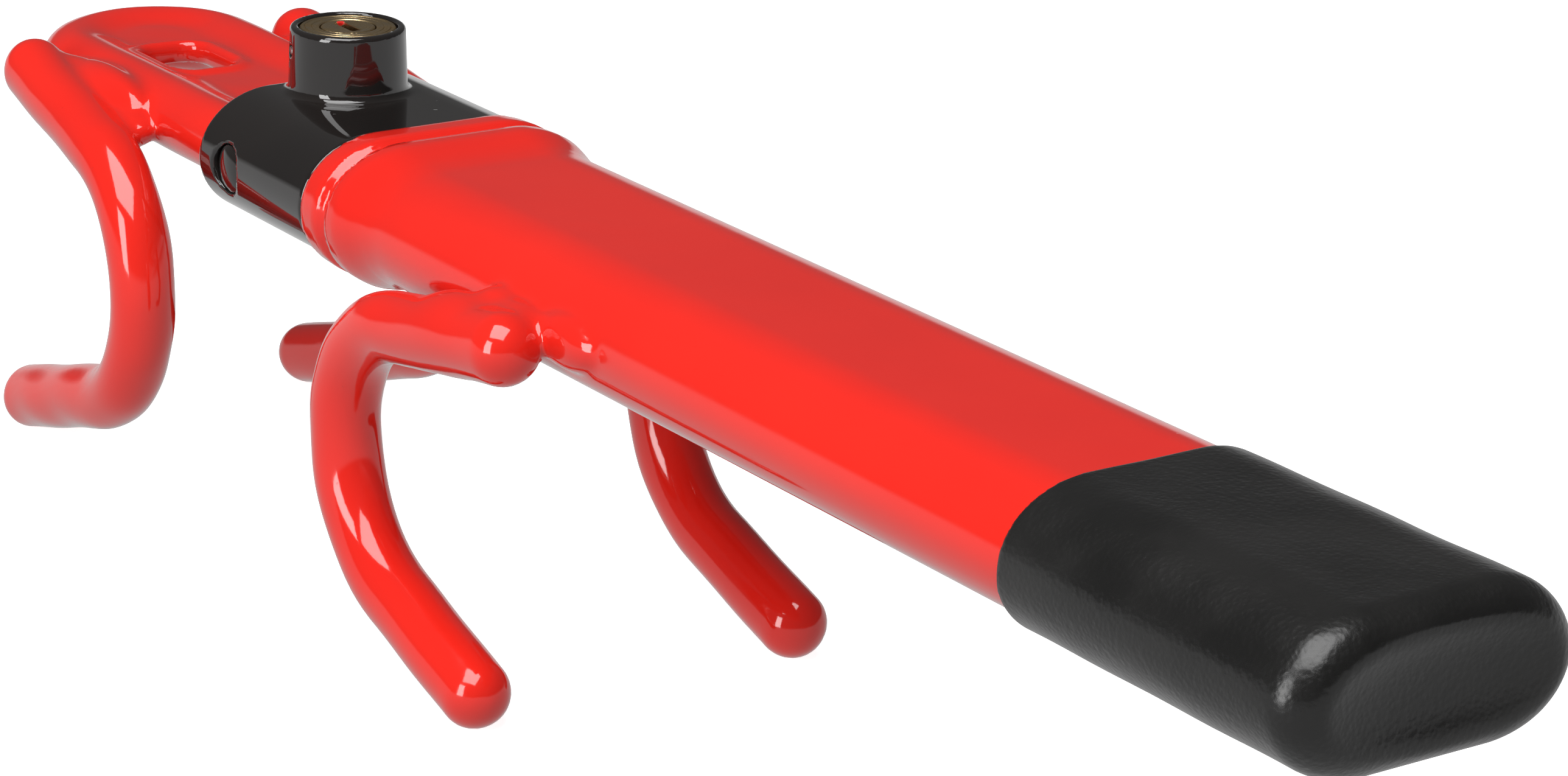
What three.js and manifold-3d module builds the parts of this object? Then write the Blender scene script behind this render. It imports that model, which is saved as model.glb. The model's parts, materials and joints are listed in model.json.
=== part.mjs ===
// Telescopic steering wheel lock: a flat-oval tube with a lock housing in its mouth, a hairpin
// that slides in the tube, and two bent hooks on each, which catch the wheel's rim.
// Millimetres, +X towards the grip, +Y across, +Z up. While the pieces are placed, x = 0 is the
// lock cylinder's axis and z = 0 the tube's middle; the last lines move the origin to the middle
// of the ground under the lock.
import * as THREE from "three";
import { mergeVertices } from "three/addons/utils/BufferGeometryUtils.js";
import Module from "manifold-3d";

// Clearances
const GAP = 0.3; // between pieces that touch, and around what slides or turns
const CAM_GAP = 0.4; // between the cam and the bolts it throws
const COAT = 0.85; // vinyl dip coat on the rods

// Tube
const TUBE_WIDTH = 55;
const TUBE_HEIGHT = 24.4;
const TUBE_SIDE = 15.6; // how far each rounded side reaches in
const TUBE_WALL = 2.3;
const TUBE_LENGTH = 288.4;
const MOUTH_BEAD = { start: 0, length: 13.5, rise: 1.5, round: 1.3 };
const SECOND_BEAD = { start: 14.6, length: 6, rise: 0.9, round: 0.9 };

// Grip
const GRIP_LENGTH = 72;
const GRIP_WALL = 1.0;
const GRIP_END = 8.2; // solid end of the dipped cap
const GRIP_ROUND = 7;
const GRIP_DISH = { width: 39, height: 11, depth: 1.2 };

// Housing
const NOSE_WALL = 1.15; // between the cylinder's bore and the housing's front
const EXPOSED = 43.6; // the housing's length in front of the tube
const HOUSING_PROUD = 1.0; // how far it stands outside the tube's section
const SPIGOT_LENGTH = 30; // its length inside the tube
const HOUSING_ROUND = 0.8;
const BOSS_WALL = 1.65; // round the cylinder's bore, at the rim
const BOSS_DRAFT = 0.45; // how much the boss's foot is wider than its rim
const BOSS_HEIGHT = 13.5;
const BOSS_CHAMFER = 0.7;

// Rods
const BAR_RADIUS = 6;
const LEG_SIDE_WALL = 0.25; // of the housing's spigot, outside each leg's bore
const LOOP_STRAIGHT = 74; // coated leg from the housing's front to the loop's bend
const COAT_END_GAP = 0.4; // bare leg between the coat and the housing when closed
const REAR_WELD_GAP = 0.9; // between the tube's side and the rear hook
const FRONT_WELD_GAP = 2.0; // between the leg's coat and the front hook

// Ratchet
const NOTCH_PITCH = 12;
const NOTCH_LENGTH = 8;
const BOLT_RADIUS = 3.5;
const BOLT_THROW = 2.6;
const CAM_SHORT = 4.0; // the cam's half width when the bolts are in
const CAM_THICKNESS = 6;

// Leg guide
const GUIDE_LENGTH = 15;
const GUIDE_PIN_RADIUS = 1.5;
const GUIDE_ROUND = 0.6;
const GUIDE_FLOOR = 3; // behind the legs' ends

// Lock cylinder
const SHELL_RADIUS = 9.75;
const SHELL_RECESS = 0.4; // below the boss's rim
const SHELL_FLOOR = 2.4; // thickness under the plug
const SHELL_BASE = 5.6; // height of the shell's underside above the tube's middle
const PLUG_RADIUS = 5.5;
const KEYWAY = { length: 7.6, width: 2.2, depth: 12.5 };
const TAIL_RADIUS = 2.6;
const TAIL_SQUARE = 3.6; // across the flats that drive the cam
const TAIL_TIP = 2.5; // below the cam
const SHELL_PIN_RADIUS = 0.95;
const SHELL_PIN_ANGLE = 253; // degrees, seen from above
const SHELL_PIN_DEPTH = 4.9; // below the boss's rim
const SHELL_PIN_BITE = 1.3; // into the shell
const SHELL_PIN_INSET = 0.4; // inside the boss's foot

// Clip under the cam
const CLIP_RADIUS = 3.9;
const CLIP_THICKNESS = 0.6;
const CLIP_MOUTH = 2.2;
const CLIP_DROP = 0.8; // from the cam's underside
const CLIP_GROOVE_RADIUS = 1.3;

// Wafers
const WAFER_COUNT = 5;
const WAFER_PITCH = 2.1;
const WAFER_THICKNESS = 1.1;
const WAFER_WIDTH = 5.2;
const WAFER_TRAVEL = 0.8;
const WAFER_FIRST = 2.6; // first wafer's middle below the plug's face

// Side plugs
const SIDE_PLUG_RADIUS = 4.8;
const SIDE_PLUG_THICKNESS = 2.2;
const SIDE_PLUG_RECESS = 0.5;

// Hooks: each is bent in an upright plane from its top arm, past the back, to its lower arm.
// The rear ones start from the tube's mouth and the front ones from the housing's front. The
// right rear one has a shorter, flatter top arm, welded lower on the tube's side, and the right
// front one a longer, flatter top arm.
const REAR_HOOK_LEFT = {
  start: [87.8, -2.1], heading: 190, top: 37.8, topBend: 25, topTurn: 80,
  lowBend: 31, lowTurn: 72, low: 29,
};
const REAR_HOOK_RIGHT = {
  start: [79.3, -7.43], heading: 182, top: 24, topBend: 25, topTurn: 88,
  lowBend: 31, lowTurn: 72, low: 29,
};
const FRONT_HOOK_LEFT = {
  start: [-64, 3.7], heading: -12.5, top: 37.2, topBend: 26, topTurn: -73,
  lowBend: 29.8, lowTurn: -77.6, low: 43.2,
};
const FRONT_HOOK_RIGHT = {
  start: [-70, 1.5], heading: -8, top: 42.7, topBend: 26, topTurn: -77.5,
  lowBend: 29.8, lowTurn: -77.6, low: 43.2,
};
const FRONT_SPLAY = 0.065; // how much further out the front hooks' backs lie, per mm of length

// Web between the hairpin's legs and the window in it, placed from the housing's front
const WEB = { thickness: 4.4, base: 1 };
const WINDOW = { length: 27, width: 16, round: 4, x: -55.3, y: -2 };

// Weld beads, from the same two places as the hooks
const REAR_WELD_LEFT = { x: 79.6, z: 2.2, size: [16, 6.5, 6.2] };
const REAR_WELD_RIGHT = { x: 74, z: -4.6, size: [14, 7.5, 5.6] };
const FRONT_WELD = { x: -46.8, z: 2.6, size: [17, 5.2, 6] };

// Facets
const ROUND = 32;
const ROD_SIDES = 16;
const OVAL_STEPS = 7; // half the facets of each rounded side

const COAT_RADIUS = BAR_RADIUS + COAT;
const LEG_Y = TUBE_WIDTH / 2 - TUBE_WALL - LEG_SIDE_WALL - 2 * GAP - BAR_RADIUS;
const BOSS_TOP_RADIUS = SHELL_RADIUS + GAP + BOSS_WALL;
const BOSS_BASE_RADIUS = BOSS_TOP_RADIUS + BOSS_DRAFT;
const HOUSING_FRONT = -(SHELL_RADIUS + GAP + NOSE_WALL);
const MOUTH_X = HOUSING_FRONT + EXPOSED;
const TUBE_END = MOUTH_X + TUBE_LENGTH;
const COAT_END = HOUSING_FRONT - COAT_END_GAP;
const GRIP_FRONT = TUBE_END + GAP + GRIP_END - GRIP_LENGTH;
const SPIGOT_END = MOUTH_X + SPIGOT_LENGTH;
const HOUSING_TOP = TUBE_HEIGHT / 2 + HOUSING_PROUD;
const HOUSING_SIDE = TUBE_WIDTH / 2 + HOUSING_PROUD;
const BOSS_TOP = HOUSING_TOP + BOSS_HEIGHT;
const FACE_Z = BOSS_TOP - SHELL_RECESS;
// As many notches as fit between the housing and the leg guide at the tube's end.
const NOTCH_ROOM = TUBE_LENGTH - SPIGOT_LENGTH - GAP - GUIDE_LENGTH;
const NOTCH_COUNT = Math.floor(NOTCH_ROOM / NOTCH_PITCH);
const TRAVEL = NOTCH_PITCH * (NOTCH_COUNT - 1);
const GUIDE_FRONT = SPIGOT_END + GAP + TRAVEL;
const LEG_END = GUIDE_FRONT + GUIDE_LENGTH - GUIDE_FLOOR;
const CAM_LONG = CAM_SHORT + BOLT_THROW;
const CAVITY_RADIUS = CAM_LONG + 2 * GAP;
const BOLT_BORE = BOLT_RADIUS + GAP;
const BOLT_INNER = CAM_SHORT + CAM_GAP;
const BOLT_OUTER = LEG_Y - BAR_RADIUS - GAP;

const wasm = await Module();
wasm.setup();

// --- solids -------------------------------------------------------------------------------

function solid(geometry) {
  const bare = geometry.index ? geometry.toNonIndexed() : geometry.clone();
  bare.deleteAttribute("normal");
  bare.deleteAttribute("uv");
  const merged = mergeVertices(bare, 1e-4);
  return new wasm.Manifold(new wasm.Mesh({
    numProp: 3,
    vertProperties: merged.attributes.position.array,
    triVerts: new Uint32Array(merged.index.array),
  }));
}

function geometryOf(manifold) {
  const { vertProperties, triVerts } = manifold.getMesh();
  const geometry = new THREE.BufferGeometry();
  geometry.setAttribute("position", new THREE.BufferAttribute(vertProperties, 3));
  geometry.setIndex(new THREE.BufferAttribute(triVerts, 1));
  const flat = geometry.toNonIndexed();
  flat.computeVertexNormals();
  return flat;
}

const join = (...parts) => parts.reduce((whole, part) => whole.add(part));
const cut = (whole, ...tools) => tools.reduce((rest, tool) => rest.subtract(tool), whole);

// The largest of the bodies that a cut leaves.
function largest(manifold) {
  const bodies = manifold.decompose();
  return bodies.reduce((best, body) => (body.volume() > best.volume() ? body : best));
}

const box = (sx, sy, sz, x, y, z) =>
  solid(new THREE.BoxGeometry(sx, sy, sz).translate(x, y, z));

// An upright cylinder or cone from z0 to z1.
function post(bottomRadius, topRadius, z0, z1, x = 0, y = 0, sides = ROUND) {
  const shape = new THREE.CylinderGeometry(topRadius, bottomRadius, z1 - z0, sides);
  return solid(shape.rotateX(Math.PI / 2).translate(x, y, (z0 + z1) / 2));
}

// A cylinder along X or Y.
function barX(radius, x0, x1, y, z, sides = ROD_SIDES) {
  const shape = new THREE.CylinderGeometry(radius, radius, x1 - x0, sides);
  return solid(shape.rotateZ(Math.PI / 2).translate((x0 + x1) / 2, y, z));
}
function barY(radius, y0, y1, x, z, sides = ROD_SIDES) {
  const shape = new THREE.CylinderGeometry(radius, radius, y1 - y0, sides);
  return solid(shape.translate(x, (y0 + y1) / 2, z));
}

function ellipsoid(size, x, y, z) {
  const shape = new THREE.SphereGeometry(1, 20, 12).scale(...size);
  return solid(shape.translate(x, y, z));
}

// The flat-oval outline: flat top and bottom, half ellipses at the sides.
function flatOval(outset) {
  const halfHeight = TUBE_HEIGHT / 2 + outset;
  const side = TUBE_SIDE + outset;
  const flat = TUBE_WIDTH / 2 + outset - side;
  const shape = new THREE.Shape();
  shape.moveTo(-flat, -halfHeight);
  shape.lineTo(flat, -halfHeight);
  shape.absellipse(flat, 0, side, halfHeight, -Math.PI / 2, Math.PI / 2, false);
  shape.lineTo(-flat, halfHeight);
  shape.absellipse(-flat, 0, side, halfHeight, Math.PI / 2, Math.PI * 1.5, false);
  return shape;
}

// An outline in Y and Z pushed along X, with its end edges rounded by `round`.
function alongX(shape, x0, x1, round = 0) {
  const geometry = new THREE.ExtrudeGeometry(shape, {
    depth: x1 - x0 - 2 * round,
    curveSegments: OVAL_STEPS,
    bevelEnabled: round > 0,
    bevelThickness: round,
    bevelSize: round,
    bevelOffset: -round,
    bevelSegments: 3,
  });
  const turn = new THREE.Matrix4().makeBasis(
    new THREE.Vector3(0, 1, 0), new THREE.Vector3(0, 0, 1), new THREE.Vector3(1, 0, 0));
  return solid(geometry.translate(0, 0, round).applyMatrix4(turn).translate(x0, 0, 0));
}

// --- bent rods ----------------------------------------------------------------------------

// A rod's centreline of straights and round bends in one plane. `moves` holds [length] for a
// straight and [radius, turn] for a bend, turn in degrees and anticlockwise when positive.
class BentLine extends THREE.Curve {
  constructor(start, headingDegrees, moves, place) {
    super();
    this.place = place;
    this.pieces = [];
    this.total = 0;
    let [a, b] = start;
    let heading = THREE.MathUtils.degToRad(headingDegrees);
    for (const [size, turnDegrees = 0] of moves) {
      const turn = THREE.MathUtils.degToRad(turnDegrees);
      const length = turn ? size * Math.abs(turn) : size;
      const piece = { a, b, heading, length, bend: turn ? turn / length : 0 };
      this.pieces.push(piece);
      this.total += length;
      [a, b] = BentLine.along(piece, length);
      heading += turn;
    }
  }

  static along({ a, b, heading, bend }, s) {
    if (!bend) return [a + s * Math.cos(heading), b + s * Math.sin(heading)];
    const end = heading + bend * s;
    return [
      a + (Math.sin(end) - Math.sin(heading)) / bend,
      b - (Math.cos(end) - Math.cos(heading)) / bend,
    ];
  }

  getPoint(t, target = new THREE.Vector3()) {
    let s = t * this.total;
    let index = 0;
    while (index < this.pieces.length - 1 && s > this.pieces[index].length) {
      s -= this.pieces[index].length;
      index += 1;
    }
    const [a, b] = BentLine.along(this.pieces[index], s);
    return target.copy(this.place(a, b));
  }
}

// A round rod on a centreline, with domed ends if asked.
function rodOn(line, radius, steps, domed) {
  const circle = new THREE.Shape().absarc(0, 0, radius, 0, Math.PI * 2, false);
  const geometry = new THREE.ExtrudeGeometry(circle, {
    steps, curveSegments: ROD_SIDES / 2, extrudePath: line, bevelEnabled: false,
  });
  const rod = solid(geometry);
  if (!domed) return rod;
  const ends = [line.getPoint(0), line.getPoint(1)].map((p) =>
    solid(new THREE.SphereGeometry(radius, ROD_SIDES, 8).translate(p.x, p.y, p.z)));
  return join(rod, ...ends);
}

function hook(shape, from, y, radius, splay = 0) {
  const moves = [
    [shape.top], [shape.topBend, shape.topTurn], [shape.lowBend, shape.lowTurn], [shape.low],
  ];
  const lean = Math.sign(y) * splay;
  const place = (x, z) => new THREE.Vector3(from + x, y + lean * (x - shape.start[0]), z);
  return rodOn(new BentLine(shape.start, shape.heading, moves, place), radius, 24, true);
}

const REAR_HOOK_Y = TUBE_WIDTH / 2 + REAR_WELD_GAP + COAT_RADIUS;
const FRONT_HOOK_Y = LEG_Y + COAT_RADIUS + FRONT_WELD_GAP + COAT_RADIUS;

// --- fixed pieces -------------------------------------------------------------------------

function outerTube() {
  const beads = [MOUTH_BEAD, SECOND_BEAD].map(({ start, length, rise, round }) =>
    alongX(flatOval(rise), MOUTH_X + GAP + start, MOUTH_X + GAP + start + length, round));
  const body = join(alongX(flatOval(0), MOUTH_X + GAP + 1, TUBE_END), ...beads);
  return cut(body, alongX(flatOval(-TUBE_WALL), MOUTH_X - 1, TUBE_END + 1));
}

function gripSleeve() {
  const outset = GAP + GRIP_WALL;
  const end = GRIP_FRONT + GRIP_LENGTH;
  const shoulder = end - 3 * GRIP_ROUND;
  const dish = ellipsoid(
    [GRIP_DISH.depth, GRIP_DISH.width / 2, GRIP_DISH.height / 2], end, 0, 0);
  const body = join(
    alongX(flatOval(outset), GRIP_FRONT, shoulder + GRIP_ROUND + 1),
    alongX(flatOval(outset), shoulder, end, GRIP_ROUND));
  return cut(body, alongX(flatOval(GAP), GRIP_FRONT - 1, TUBE_END + GAP), dish);
}

// The bores that the housing needs: two for the legs, one for the cylinder with the cam's
// cavity under it, and one right across for the bolts, counterbored for the side plugs.
function housingBores() {
  const legs = [-1, 1].map((side) =>
    barX(BAR_RADIUS + GAP, HOUSING_FRONT - 1, SPIGOT_END + 1, side * LEG_Y, 0, ROD_SIDES));
  const cylinder = post(SHELL_RADIUS + GAP, SHELL_RADIUS + GAP, SHELL_BASE - GAP, BOSS_TOP + 1);
  const cavity = post(CAVITY_RADIUS, CAVITY_RADIUS, -CAM_THICKNESS - 1, BOSS_TOP);
  const across = barY(BOLT_BORE, -HOUSING_SIDE - 1, HOUSING_SIDE + 1, 0, 0);
  const plugDepth = SIDE_PLUG_RECESS + SIDE_PLUG_THICKNESS + GAP;
  const seats = [-1, 1].map((side) => {
    const inner = side * (HOUSING_SIDE - plugDepth);
    const outer = side * (HOUSING_SIDE + 2);
    return barY(SIDE_PLUG_RADIUS + GAP, Math.min(inner, outer), Math.max(inner, outer), 0, 0);
  });
  return [...legs, cylinder, cavity, across, ...seats];
}

const pinAngle = THREE.MathUtils.degToRad(SHELL_PIN_ANGLE);
const PIN_Z = BOSS_TOP - SHELL_PIN_DEPTH;

// A cylinder that lies along the shell pin's line, between two distances from the axis.
function onPinLine(radius, near, far) {
  const length = far - near;
  const shape = new THREE.CylinderGeometry(radius, radius, length, 16);
  shape.rotateZ(Math.PI / 2).translate((near + far) / 2, 0, 0).rotateZ(pinAngle);
  return solid(shape.translate(0, 0, PIN_Z));
}

function lockHousing() {
  const block = join(
    alongX(flatOval(HOUSING_PROUD), HOUSING_FRONT, MOUTH_X, HOUSING_ROUND),
    alongX(flatOval(-TUBE_WALL - GAP), MOUTH_X - 2, SPIGOT_END));
  const rim = BOSS_TOP - BOSS_CHAMFER;
  const boss = join(
    post(BOSS_BASE_RADIUS, BOSS_TOP_RADIUS, HOUSING_TOP - 3, rim, 0, 0, ROUND + 8),
    post(BOSS_TOP_RADIUS, BOSS_TOP_RADIUS - BOSS_CHAMFER, rim, BOSS_TOP, 0, 0, ROUND + 8));
  const pinHole = onPinLine(SHELL_PIN_RADIUS + GAP, 0, BOSS_BASE_RADIUS + 2);
  return cut(join(block, boss), ...housingBores(), pinHole);
}

function sidePlug(side) {
  const outer = HOUSING_SIDE - SIDE_PLUG_RECESS;
  const faces = [side * (outer - SIDE_PLUG_THICKNESS), side * outer];
  return barY(SIDE_PLUG_RADIUS, Math.min(...faces), Math.max(...faces), 0, 0);
}

const rearHook = (side, outset = 0) => hook(
  side < 0 ? REAR_HOOK_LEFT : REAR_HOOK_RIGHT, MOUTH_X, side * REAR_HOOK_Y,
  COAT_RADIUS + outset);

// A weld bead: a lump cut clear of the two pieces that it joins.
function rearWeld(side) {
  const y = side * (TUBE_WIDTH / 2 + REAR_WELD_GAP / 2);
  const weld = side < 0 ? REAR_WELD_LEFT : REAR_WELD_RIGHT;
  const lump = ellipsoid(weld.size, MOUTH_X + weld.x, y, weld.z);
  const tube = alongX(flatOval(GAP), MOUTH_X, TUBE_END);
  return largest(cut(lump, tube, rearHook(side, GAP)));
}

// --- extension ----------------------------------------------------------------------------

// The hairpin is one bent bar, drawn as its coated loop and its two bare legs.
function hairpinLoop() {
  const straight = COAT_END - HOUSING_FRONT + LOOP_STRAIGHT;
  const moves = [[straight], [LEG_Y, 180], [straight]];
  const place = (x, y) => new THREE.Vector3(x, y, 0);
  return rodOn(new BentLine([COAT_END, LEG_Y], 180, moves, place), COAT_RADIUS, 32, false);
}

function bareLeg(side) {
  const leg = barX(BAR_RADIUS, COAT_END + GAP, LEG_END, side * LEG_Y, 0);
  const inner = side * (LEG_Y - BAR_RADIUS);
  const notches = Array.from({ length: NOTCH_COUNT }, (_, i) =>
    box(NOTCH_LENGTH, 2 * (BOLT_THROW + GAP), 3 * BAR_RADIUS, i * NOTCH_PITCH, inner, 0));
  return cut(leg, ...notches, guidePinHole(side));
}

// The web fills the loop but for one window, which lies nearer the left leg.
function hairpinWeb() {
  const halfWidth = LEG_Y - COAT_RADIUS - GAP;
  const bend = HOUSING_FRONT - LOOP_STRAIGHT;
  const shape = new THREE.Shape();
  shape.moveTo(COAT_END, -halfWidth);
  shape.lineTo(COAT_END, halfWidth);
  shape.lineTo(bend, halfWidth);
  shape.absarc(bend, 0, halfWidth, Math.PI / 2, Math.PI * 1.5, false);
  const plate = new THREE.ExtrudeGeometry(shape, {
    depth: WEB.thickness, curveSegments: 24, bevelEnabled: false,
  });
  const window = roundedBlock(WINDOW.length, WINDOW.width, WINDOW.round, 2 * WEB.thickness);
  const hole = window.translate([HOUSING_FRONT + WINDOW.x, WINDOW.y, 0]);
  return cut(solid(plate.translate(0, 0, WEB.base)), hole);
}

// A block with rounded upright edges, its foot at z = 0.
function roundedBlock(length, width, round, height) {
  const x = length / 2 - round;
  const y = width / 2 - round;
  const shape = new THREE.Shape();
  shape.absarc(x, y, round, 0, Math.PI / 2, false);
  shape.absarc(-x, y, round, Math.PI / 2, Math.PI, false);
  shape.absarc(-x, -y, round, Math.PI, Math.PI * 1.5, false);
  shape.absarc(x, -y, round, Math.PI * 1.5, Math.PI * 2, false);
  return solid(new THREE.ExtrudeGeometry(shape, {
    depth: height, curveSegments: 6, bevelEnabled: false,
  }));
}

const frontHook = (side, outset = 0) => hook(
  side < 0 ? FRONT_HOOK_LEFT : FRONT_HOOK_RIGHT, HOUSING_FRONT, side * FRONT_HOOK_Y,
  COAT_RADIUS + outset, FRONT_SPLAY);

function frontWeld(side) {
  const y = side * (LEG_Y + COAT_RADIUS + FRONT_WELD_GAP / 2);
  const lump = ellipsoid(FRONT_WELD.size, HOUSING_FRONT + FRONT_WELD.x, y, FRONT_WELD.z);
  const leg = barX(COAT_RADIUS + GAP, HOUSING_FRONT - LOOP_STRAIGHT, MOUTH_X, side * LEG_Y, 0);
  return largest(cut(lump, leg, frontHook(side, GAP)));
}

const GUIDE_PIN_X = GUIDE_FRONT + GUIDE_LENGTH / 2;

// Half the height of the flat oval at a distance y from its middle.
function ovalHalfHeight(outset, y) {
  const side = TUBE_SIDE + outset;
  const inSide = Math.max(0, Math.abs(y) - (TUBE_WIDTH / 2 - TUBE_SIDE));
  return (TUBE_HEIGHT / 2 + outset) * Math.sqrt(1 - (inSide / side) ** 2);
}
const GUIDE_PIN_HALF = ovalHalfHeight(-TUBE_WALL - GAP, LEG_Y + GUIDE_PIN_RADIUS) - GAP;

const guidePinHole = (side) =>
  post(GUIDE_PIN_RADIUS + GAP, GUIDE_PIN_RADIUS + GAP, -TUBE_HEIGHT, TUBE_HEIGHT,
    GUIDE_PIN_X, side * LEG_Y, ROD_SIDES);

function legGuide() {
  const block = alongX(flatOval(-TUBE_WALL - GAP), GUIDE_FRONT, GUIDE_FRONT + GUIDE_LENGTH,
    GUIDE_ROUND);
  const bores = [-1, 1].map((side) =>
    barX(BAR_RADIUS + GAP, GUIDE_FRONT - 1, LEG_END + GAP, side * LEG_Y, 0));
  return cut(block, ...bores, guidePinHole(-1), guidePinHole(1));
}

const guidePin = (side) =>
  post(GUIDE_PIN_RADIUS, GUIDE_PIN_RADIUS, -GUIDE_PIN_HALF, GUIDE_PIN_HALF,
    GUIDE_PIN_X, side * LEG_Y, ROD_SIDES);

// --- lock cylinder and ratchet ------------------------------------------------------------

const waferZ = (i) => FACE_Z - WAFER_FIRST - i * WAFER_PITCH;
const CLIP_Z = -CAM_THICKNESS / 2 - CLIP_DROP - CLIP_THICKNESS / 2;

function lockShell() {
  const body = post(SHELL_RADIUS, SHELL_RADIUS, SHELL_BASE, FACE_Z);
  const bore = post(PLUG_RADIUS + GAP, PLUG_RADIUS + GAP, SHELL_BASE + SHELL_FLOOR, FACE_Z + 1);
  const tail = post(TAIL_RADIUS + GAP, TAIL_RADIUS + GAP, 0, FACE_Z);
  const reach = PLUG_RADIUS + WAFER_TRAVEL + 2 * GAP;
  const slotTop = waferZ(0) + WAFER_PITCH / 2;
  const slotBottom = waferZ(WAFER_COUNT - 1) - WAFER_PITCH / 2;
  const slotWidth = WAFER_WIDTH + 2 * GAP;
  const middle = (slotTop + slotBottom) / 2;
  const height = slotTop - slotBottom;
  const slots = [
    box(2 * reach, slotWidth, height, 0, 0, middle),
    box(slotWidth, 2 * reach, height, 0, 0, middle),
  ];
  const pinSeat = onPinLine(SHELL_PIN_RADIUS + GAP,
    SHELL_RADIUS - SHELL_PIN_BITE - GAP, SHELL_RADIUS + 2);
  return cut(body, bore, tail, ...slots, pinSeat);
}

function lockPlug() {
  const drum = post(PLUG_RADIUS, PLUG_RADIUS, SHELL_BASE + SHELL_FLOOR + GAP, FACE_Z);
  const camTop = CAM_THICKNESS / 2;
  const tail = post(TAIL_RADIUS, TAIL_RADIUS, camTop + GAP, SHELL_BASE + SHELL_FLOOR + 1);
  const shank = CAM_THICKNESS + TAIL_TIP + 2;
  const square = box(
    TAIL_SQUARE, TAIL_SQUARE, shank, 0, 0, shank / 2 - camTop - TAIL_TIP);
  const clip = CLIP_THICKNESS / 2 + GAP;
  const groove = cut(
    post(PLUG_RADIUS, PLUG_RADIUS, CLIP_Z - clip, CLIP_Z + clip),
    post(CLIP_GROOVE_RADIUS, CLIP_GROOVE_RADIUS, CLIP_Z - 2, CLIP_Z + 2, 0, 0, ROD_SIDES));
  const keyway = box(KEYWAY.length, KEYWAY.width, 2 * KEYWAY.depth, 0, 0, FACE_Z);
  const slots = Array.from({ length: WAFER_COUNT }, (_, i) =>
    box(3 * PLUG_RADIUS, WAFER_WIDTH + 2 * GAP, WAFER_THICKNESS + 2 * GAP, 0, 0, waferZ(i)));
  return cut(join(drum, tail, square), groove, keyway, ...slots);
}

function wafer(i) {
  const z = waferZ(i);
  const plate = box(3 * PLUG_RADIUS, WAFER_WIDTH, WAFER_THICKNESS, 0, 0, z);
  const disc = post(
    PLUG_RADIUS - GAP, PLUG_RADIUS - GAP, z - WAFER_THICKNESS, z + WAFER_THICKNESS);
  const window = box(KEYWAY.length + GAP, KEYWAY.width + GAP, 2 * WAFER_THICKNESS, 0, 0, z);
  return cut(plate.intersect(disc), window);
}

function lockCam() {
  const oval = new THREE.Shape().absellipse(
    0, 0, CAM_LONG, CAM_SHORT, 0, Math.PI * 2, false);
  const plate = solid(new THREE.ExtrudeGeometry(oval, {
    depth: CAM_THICKNESS, curveSegments: ROUND / 2, bevelEnabled: false,
  }).translate(0, 0, -CAM_THICKNESS / 2));
  const hole = TAIL_SQUARE + 2 * GAP;
  return cut(plate, box(hole, hole, 2 * CAM_THICKNESS, 0, 0, 0));
}

function camClip() {
  const half = CLIP_THICKNESS / 2;
  const bore = CLIP_GROOVE_RADIUS + GAP;
  const ring = post(CLIP_RADIUS, CLIP_RADIUS, CLIP_Z - half, CLIP_Z + half);
  const mouth = box(
    2 * CLIP_RADIUS, CLIP_MOUTH, 2 * CLIP_THICKNESS, CLIP_RADIUS + 1, 0, CLIP_Z);
  return cut(ring, post(bore, bore, CLIP_Z - 1, CLIP_Z + 1, 0, 0, ROD_SIDES), mouth);
}

function lockingBolt(side) {
  const faces = [side * BOLT_INNER, side * BOLT_OUTER];
  return barY(BOLT_RADIUS, Math.min(...faces), Math.max(...faces), 0, 0);
}

const shellPin = () => onPinLine(
  SHELL_PIN_RADIUS, SHELL_RADIUS - SHELL_PIN_BITE, BOSS_BASE_RADIUS - SHELL_PIN_INSET);

// --- assembly -----------------------------------------------------------------------------

const finish = (color, roughness, metalness) =>
  new THREE.MeshStandardMaterial({ color, roughness, metalness });
const redVinyl = finish(0xe0281e, 0.18, 0);
const blackVinyl = finish(0x1b1b1b, 0.6, 0);
const blackPaint = finish(0x14110f, 0.12, 0.1);
const brass = finish(0x8a6a34, 0.35, 1);
const steel = finish(0x9a9a9a, 0.35, 1);

const lock = new THREE.Group();
const extension = new THREE.Group();
const cylinder = new THREE.Group();
lock.add(extension, cylinder);

function put(group, name, manifold, material) {
  const mesh = new THREE.Mesh(geometryOf(manifold), material);
  mesh.name = name;
  group.add(mesh);
}

put(lock, "outer_tube", outerTube(), redVinyl);
put(lock, "grip_sleeve", gripSleeve(), blackVinyl);
put(lock, "lock_housing", lockHousing(), blackPaint);
put(extension, "hairpin_loop", hairpinLoop(), redVinyl);
put(extension, "hairpin_web", hairpinWeb(), redVinyl);
put(extension, "leg_guide", legGuide(), steel);
for (const [side, hand] of [[-1, "left"], [1, "right"]]) {
  put(lock, "rear_hook_" + hand, rearHook(side), redVinyl);
  put(lock, "rear_weld_" + hand, rearWeld(side), redVinyl);
  put(lock, "side_plug_" + hand, sidePlug(side), blackPaint);
  put(extension, "leg_" + hand, bareLeg(side), steel);
  put(extension, "front_hook_" + hand, frontHook(side), redVinyl);
  put(extension, "front_weld_" + hand, frontWeld(side), redVinyl);
  put(extension, "guide_pin_" + hand, guidePin(side), steel);
  put(cylinder, "locking_bolt_" + hand, lockingBolt(side), steel);
}
put(cylinder, "lock_shell", lockShell(), brass);
put(cylinder, "lock_plug", lockPlug(), brass);
put(cylinder, "shell_pin", shellPin(), brass);
put(cylinder, "lock_cam", lockCam(), steel);
put(cylinder, "cam_clip", camClip(), steel);
for (let i = 0; i < WAFER_COUNT; i += 1) put(cylinder, "wafer_" + (i + 1), wafer(i), brass);

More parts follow.
